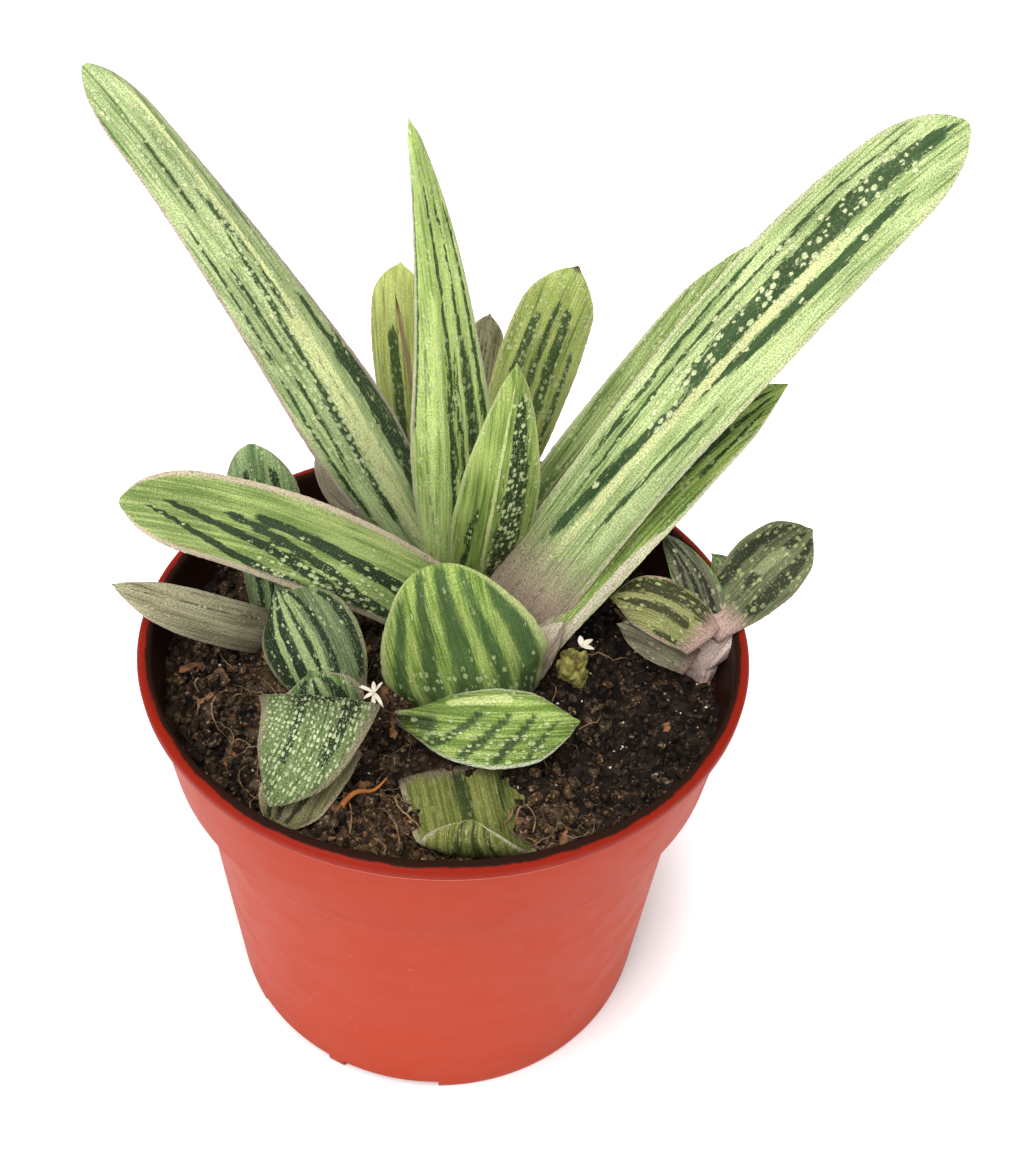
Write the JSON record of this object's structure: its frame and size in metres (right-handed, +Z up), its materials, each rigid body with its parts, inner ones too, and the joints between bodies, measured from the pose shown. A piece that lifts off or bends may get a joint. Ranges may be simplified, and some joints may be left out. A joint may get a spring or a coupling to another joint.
{
  "type": "potted succulent plant",
  "caption": "Gasteria with thick, striped and speckled tongue leaves and side pups, growing in soil in a round tapered plastic nursery pot.",
  "frame": {"origin": "centre of the pot's flat base, on the surface it rests on", "axes": "+Z up along the pot's axis; -Y towards the front, where the short rounded leaf is; +X towards the long right leaf"},
  "size_m": [0.1444, 0.12, 0.1939],
  "materials": {
    "pot_plastic": "matte moulded plastic, terracotta red",
    "soil": "loose dark potting soil",
    "main_stem": "waxy succulent tissue",
    "left_pup_stem": "waxy succulent tissue",
    "right_pup_stem": "waxy succulent tissue",
    "leaf_round_front": "waxy succulent tissue",
    "leaf_front_low": "waxy succulent tissue",
    "leaf_front_buried": "waxy succulent tissue",
    "leaf_big_right": "waxy succulent tissue",
    "leaf_big_left": "waxy succulent tissue",
    "leaf_small_centre": "waxy succulent tissue",
    "leaf_tall_centre": "waxy succulent tissue",
    "leaf_upper_left": "waxy succulent tissue",
    "leaf_under_right": "waxy succulent tissue",
    "leaf_behind_right": "waxy succulent tissue",
    "leaf_back_right": "waxy succulent tissue",
    "leaf_back_left": "waxy succulent tissue",
    "leaf_back_tip": "waxy succulent tissue",
    "dried_strip": "dry papery strip",
    "leaf_dark_left": "waxy succulent tissue",
    "leaf_grey_left": "waxy succulent tissue",
    "leaf_beige_base": "waxy succulent tissue",
    "left_pup_lower": "waxy succulent tissue",
    "left_pup_under": "waxy succulent tissue",
    "left_pup_bud": "waxy succulent tissue",
    "left_pup_upper": "waxy succulent tissue",
    "right_pup_front": "waxy succulent tissue",
    "right_pup_upright": "waxy succulent tissue",
    "right_pup_big": "waxy succulent tissue",
    "right_pup_back": "waxy succulent tissue",
    "right_pup_under": "waxy succulent tissue",
    "soil_lump": "soft mossy lump"
  },
  "bodies": {
    "root": {"pot": "pot_plastic", "soil": "soil", "main_stem": "main_stem", "left_pup_stem": "left_pup_stem", "right_pup_stem": "right_pup_stem", "leaf_round_front": "leaf_round_front", "leaf_front_low": "leaf_front_low", "leaf_front_buried": "leaf_front_buried", "leaf_big_right": "leaf_big_right", "leaf_big_left": "leaf_big_left", "leaf_small_centre": "leaf_small_centre", "leaf_tall_centre": "leaf_tall_centre", "leaf_upper_left": "leaf_upper_left", "leaf_under_right": "leaf_under_right", "leaf_behind_right": "leaf_behind_right", "leaf_back_right": "leaf_back_right", "leaf_back_left": "leaf_back_left", "leaf_back_tip": "leaf_back_tip", "dried_strip": "dried_strip", "leaf_dark_left": "leaf_dark_left", "leaf_grey_left": "leaf_grey_left", "leaf_beige_base": "leaf_beige_base", "left_pup_lower": "left_pup_lower", "left_pup_under": "left_pup_under", "left_pup_bud": "left_pup_bud", "left_pup_upper": "left_pup_upper", "right_pup_front": "right_pup_front", "right_pup_upright": "right_pup_upright", "right_pup_big": "right_pup_big", "right_pup_back": "right_pup_back", "right_pup_under": "right_pup_under", "soil_lump": "soil_lump"}
  },
  "joints": []
}
